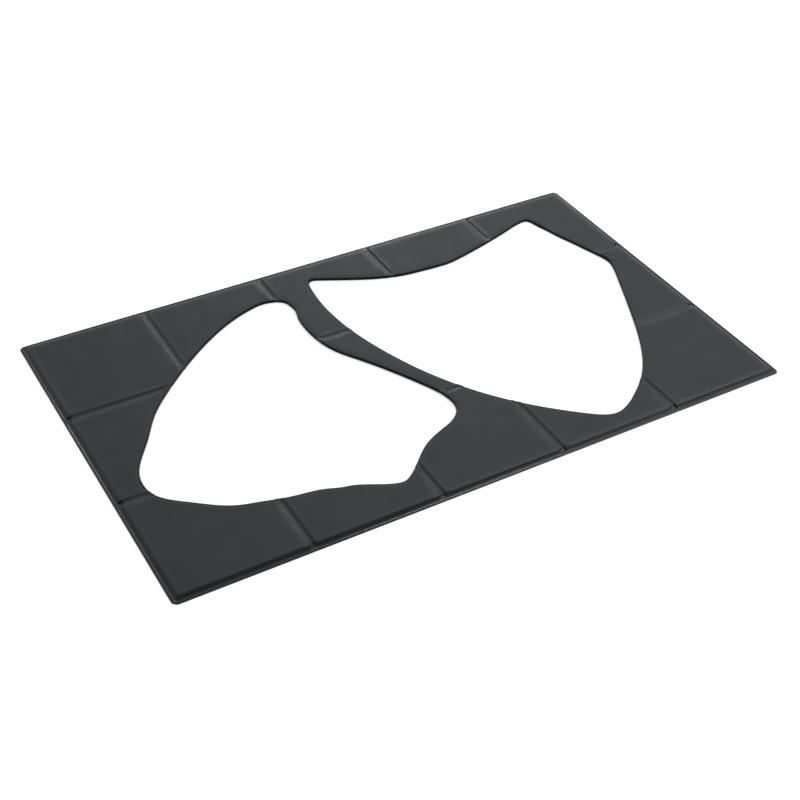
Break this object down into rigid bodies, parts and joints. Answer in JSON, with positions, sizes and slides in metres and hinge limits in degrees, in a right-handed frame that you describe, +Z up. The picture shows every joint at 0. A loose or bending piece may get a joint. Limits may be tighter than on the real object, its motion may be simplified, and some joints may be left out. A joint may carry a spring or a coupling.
{
  "type": "folding work mat",
  "caption": "Flat folding work mat of stiff square panels sealed in vinyl, with creases between the panels and two shaped windows cut right through.",
  "frame": {"origin": "middle of the underside, where the mat rests", "axes": "+X along the long side, +Y across to the far side, +Z up out of the raised faces"},
  "size_m": [0.9, 0.54, 0.005],
  "materials": {
    "cover_vinyl": "smooth satin black vinyl sheet",
    "crease_vinyl": "welded black vinyl, pressed flat",
    "base_vinyl": "fine matt black vinyl sheet",
    "board": "sawn grey plastic board"
  },
  "bodies": {
    "near_1": {"near_1_base_sheet": "base_vinyl", "near_1_board": "board", "near_1_cover_sheet": "cover_vinyl", "near_crease_1_2": "crease_vinyl", "near_middle_crease_1": "crease_vinyl"},
    "near_2": {"near_2_base_sheet": "base_vinyl", "near_2_board": "board", "near_2_cover_sheet": "cover_vinyl", "near_crease_2_3": "crease_vinyl"},
    "near_3": {"near_3_base_sheet": "base_vinyl", "near_3_board": "board", "near_3_cover_sheet": "cover_vinyl", "near_crease_3_4": "crease_vinyl", "near_middle_crease_3": "crease_vinyl"},
    "near_4": {"near_4_base_sheet": "base_vinyl", "near_4_board": "board", "near_4_cover_sheet": "cover_vinyl", "near_crease_4_5": "crease_vinyl"},
    "near_5": {"near_5_base_sheet": "base_vinyl", "near_5_board": "board", "near_5_cover_sheet": "cover_vinyl", "near_middle_crease_5": "crease_vinyl"},
    "middle_1": {"middle_1_base_sheet": "base_vinyl", "middle_1_board": "board", "middle_1_cover_sheet": "cover_vinyl", "middle_far_crease_1": "crease_vinyl"},
    "middle_3": {"middle_3_base_sheet": "base_vinyl", "middle_3_board": "board", "middle_3_cover_sheet": "cover_vinyl", "middle_far_crease_3": "crease_vinyl"},
    "middle_5": {"middle_5_base_sheet": "base_vinyl", "middle_5_board": "board", "middle_5_cover_sheet": "cover_vinyl", "middle_far_crease_5": "crease_vinyl"},
    "far_1": {"far_1_base_sheet": "base_vinyl", "far_1_board": "board", "far_1_cover_sheet": "cover_vinyl", "far_crease_1_2": "crease_vinyl"},
    "far_2": {"far_2_base_sheet": "base_vinyl", "far_2_board": "board", "far_2_cover_sheet": "cover_vinyl", "far_crease_2_3": "crease_vinyl"},
    "far_3": {"far_3_base_sheet": "base_vinyl", "far_3_board": "board", "far_3_cover_sheet": "cover_vinyl", "far_crease_3_4": "crease_vinyl"},
    "far_4": {"far_4_base_sheet": "base_vinyl", "far_4_board": "board", "far_4_cover_sheet": "cover_vinyl", "far_crease_4_5": "crease_vinyl"},
    "far_5": {"far_5_base_sheet": "base_vinyl", "far_5_board": "board", "far_5_cover_sheet": "cover_vinyl"}
  },
  "joints": [
    {"name": "near_fold_1_2", "type": "hinge", "parent": "near_1", "child": "near_2", "pos_m": [-0.27, 0, 0.0053], "axis": [0, -1, 0], "range_deg": [0, 180]},
    {"name": "near_fold_2_3", "type": "hinge", "parent": "near_2", "child": "near_3", "pos_m": [-0.09, 0, -0.0003], "axis": [0, 1, 0], "range_deg": [0, 180]},
    {"name": "near_fold_3_4", "type": "hinge", "parent": "near_3", "child": "near_4", "pos_m": [0.09, 0, 0.0053], "axis": [0, -1, 0], "range_deg": [0, 180]},
    {"name": "near_fold_4_5", "type": "hinge", "parent": "near_4", "child": "near_5", "pos_m": [0.27, 0, -0.0003], "axis": [0, 1, 0], "range_deg": [0, 180]},
    {"name": "near_middle_fold_1", "type": "hinge", "parent": "near_1", "child": "middle_1", "pos_m": [-0.36, -0.09, 0.0053], "axis": [-1, 0, 0], "range_deg": [-180, 0]},
    {"name": "near_middle_fold_3", "type": "hinge", "parent": "near_3", "child": "middle_3", "pos_m": [0, -0.09, 0.0053], "axis": [-1, 0, 0], "range_deg": [-180, 0]},
    {"name": "near_middle_fold_5", "type": "hinge", "parent": "near_5", "child": "middle_5", "pos_m": [0.36, -0.09, 0.0053], "axis": [-1, 0, 0], "range_deg": [-180, 0]},
    {"name": "middle_far_fold_1", "type": "hinge", "parent": "middle_1", "child": "far_1", "pos_m": [-0.36, 0.09, -0.0003], "axis": [1, 0, 0], "range_deg": [-180, 0]},
    {"name": "middle_far_fold_3", "type": "hinge", "parent": "middle_3", "child": "far_3", "pos_m": [0, 0.09, -0.0003], "axis": [1, 0, 0], "range_deg": [-180, 0]},
    {"name": "middle_far_fold_5", "type": "hinge", "parent": "middle_5", "child": "far_5", "pos_m": [0.36, 0.09, -0.0003], "axis": [1, 0, 0], "range_deg": [-180, 0]},
    {"name": "far_fold_1_2", "type": "hinge", "parent": "far_1", "child": "far_2", "pos_m": [-0.27, 0, 0.0053], "axis": [0, -1, 0], "range_deg": [0, 180]},
    {"name": "far_fold_3_4", "type": "hinge", "parent": "far_3", "child": "far_4", "pos_m": [0.09, 0, 0.0053], "axis": [0, -1, 0], "range_deg": [0, 180]}
  ],
  "couplings": [
    {"joint": "near_middle_fold_3", "follows": "near_middle_fold_1", "ratio": 1},
    {"joint": "near_middle_fold_5", "follows": "near_middle_fold_1", "ratio": 1},
    {"joint": "middle_far_fold_3", "follows": "middle_far_fold_1", "ratio": 1},
    {"joint": "middle_far_fold_5", "follows": "middle_far_fold_1", "ratio": 1},
    {"joint": "far_fold_1_2", "follows": "near_fold_1_2", "ratio": 1},
    {"joint": "far_fold_3_4", "follows": "near_fold_3_4", "ratio": 1}
  ]
}
